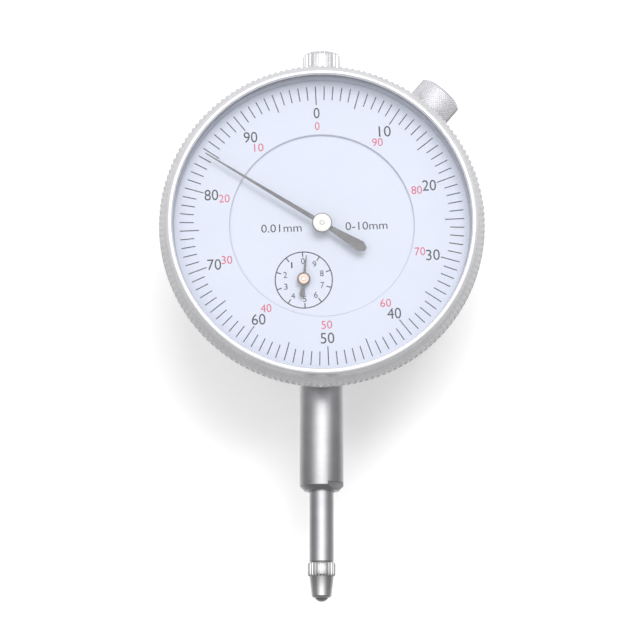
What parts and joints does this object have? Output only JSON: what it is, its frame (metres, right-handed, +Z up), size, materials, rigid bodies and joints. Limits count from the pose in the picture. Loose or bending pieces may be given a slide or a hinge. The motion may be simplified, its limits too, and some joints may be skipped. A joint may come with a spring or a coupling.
{
  "type": "dial indicator",
  "caption": "Plunger dial indicator: round knurled bezel, printed scale with two hands, clamping stem, sprung rack-driven spindle with ball contact point and lug back.",
  "frame": {"origin": "on the stem's axis, half way along the part of the stem below the case, where a holder clamps it", "axes": "+Z up the spindle towards the dial, +Y from the dial face to the back cover, +X to the right as the dial is read"},
  "size_m": [0.0594, 0.0354, 0.1023],
  "materials": {
    "movement_brass": "turned and milled brass, lightly grained",
    "bright_steel": "ground steel with fine turning marks",
    "screw_steel": "turned steel screws with slotted heads",
    "case_paint": "die-cast case with fine satin grey paint",
    "satin_steel": "satin-ground stainless stem",
    "cover_metal": "satin plated back cover and lug",
    "plated_knurl": "satin chrome plate over knurling",
    "hardened_steel": "darker hardened steel contact point",
    "dial_face": "matt cool-white dial paint with printed scale",
    "clear_glass": "clear flat watch crystal",
    "dark_ring": "dark matt spacer ring",
    "hand_steel": "dark grey blued steel hands",
    "ivory_hub": "ivory-white pressed hub",
    "copper_hub": "copper-coloured hub",
    "spring_steel": "drawn spring wire and strip"
  },
  "bodies": {
    "case": {"case": "case_paint", "stem": "satin_steel", "lower_bush": "movement_brass", "upper_bush": "bright_steel", "back_cover": "cover_metal", "back_lug": "cover_metal", "back_cover_screw_1": "screw_steel", "back_cover_screw_2": "screw_steel", "back_cover_screw_3": "screw_steel", "back_cover_screw_4": "screw_steel", "lug_screw_1": "screw_steel", "lug_screw_2": "screw_steel", "lower_plate": "movement_brass", "upper_plate": "movement_brass", "pillar_1": "movement_brass", "pillar_2": "movement_brass", "pillar_3": "movement_brass", "pillar_screw_1": "screw_steel", "pillar_screw_2": "screw_steel", "pillar_screw_3": "screw_steel", "plate_screw_1": "screw_steel", "plate_screw_2": "screw_steel", "plate_screw_3": "screw_steel", "rear_bridge": "movement_brass", "bridge_post_1": "movement_brass", "bridge_post_2": "movement_brass", "guide_block": "movement_brass", "spring_post": "bright_steel", "hairspring_stud": "movement_brass", "inner_dial": "dial_face", "centre_front_bush": "movement_brass", "centre_rear_bush": "movement_brass", "counter_front_bush": "movement_brass", "counter_rear_bush": "movement_brass", "takeup_front_bush": "movement_brass", "takeup_rear_bush": "movement_brass", "measuring_spring": "spring_steel", "hairspring": "spring_steel"},
    "spindle": {"spindle": "bright_steel", "contact_point": "hardened_steel", "contact_ball": "bright_steel", "guide_pin": "bright_steel", "lifting_cap": "plated_knurl"},
    "counter_train": {"rack_pinion": "bright_steel", "counter_gear": "movement_brass", "counter_hand": "hand_steel", "counter_hub": "copper_hub"},
    "centre_train": {"centre_pinion": "bright_steel", "main_hand": "hand_steel", "main_hub": "ivory_hub"},
    "takeup_train": {"takeup_arbor": "bright_steel", "takeup_gear": "movement_brass", "hairspring_collet": "movement_brass"},
    "bezel": {"bezel": "plated_knurl", "crystal": "clear_glass", "dial_ring": "dial_face", "spacer_ring": "dark_ring", "snap_ring": "bright_steel"},
    "clamp_shoe": {"clamp_shoe": "bright_steel"},
    "clamp_screw": {"clamp_screw": "plated_knurl"}
  },
  "joints": [
    {"name": "spindle_slide", "type": "slide", "parent": "case", "child": "spindle", "axis": [0, 0, 1], "range_m": [0, 0.0106], "stiffness_N_per_m": 50, "springref_m": -0.02, "deforming": ["measuring_spring"]},
    {"name": "main_hand_turn", "type": "hinge", "parent": "case", "child": "centre_train", "pos_m": [0, 0, 0.03735], "axis": [0, 1, 0], "range_deg": [0, 3820]},
    {"name": "counter_turn", "type": "hinge", "parent": "case", "child": "counter_train", "pos_m": [-0.0033, 0, 0.02725], "axis": [0, 1, 0], "range_deg": [-382, 0]},
    {"name": "takeup_turn", "type": "hinge", "parent": "case", "child": "takeup_train", "pos_m": [0.0033, 0, 0.04745], "axis": [0, 1, 0], "range_deg": [-382, 0], "deforming": ["hairspring"]},
    {"name": "bezel_turn", "type": "hinge", "parent": "case", "child": "bezel", "pos_m": [0, 0, 0.03735], "axis": [0, 1, 0], "continuous": true},
    {"name": "clamp_press", "type": "slide", "parent": "case", "child": "clamp_shoe", "axis": [-0.6481, 0, -0.7615], "range_m": [0, 0.00025]},
    {"name": "clamp_turn", "type": "hinge", "parent": "clamp_shoe", "child": "clamp_screw", "pos_m": [0.01944, -0.00425, 0.0602], "axis": [-0.6481, 0, -0.7615], "range_deg": [0, 180]}
  ],
  "couplings": [
    {"joint": "main_hand_turn", "follows": "spindle_slide", "rad_per_m": 6283.2},
    {"joint": "counter_turn", "follows": "spindle_slide", "rad_per_m": -628.32},
    {"joint": "takeup_turn", "follows": "spindle_slide", "rad_per_m": -628.32},
    {"joint": "clamp_turn", "follows": "clamp_press", "rad_per_m": 12566}
  ]
}
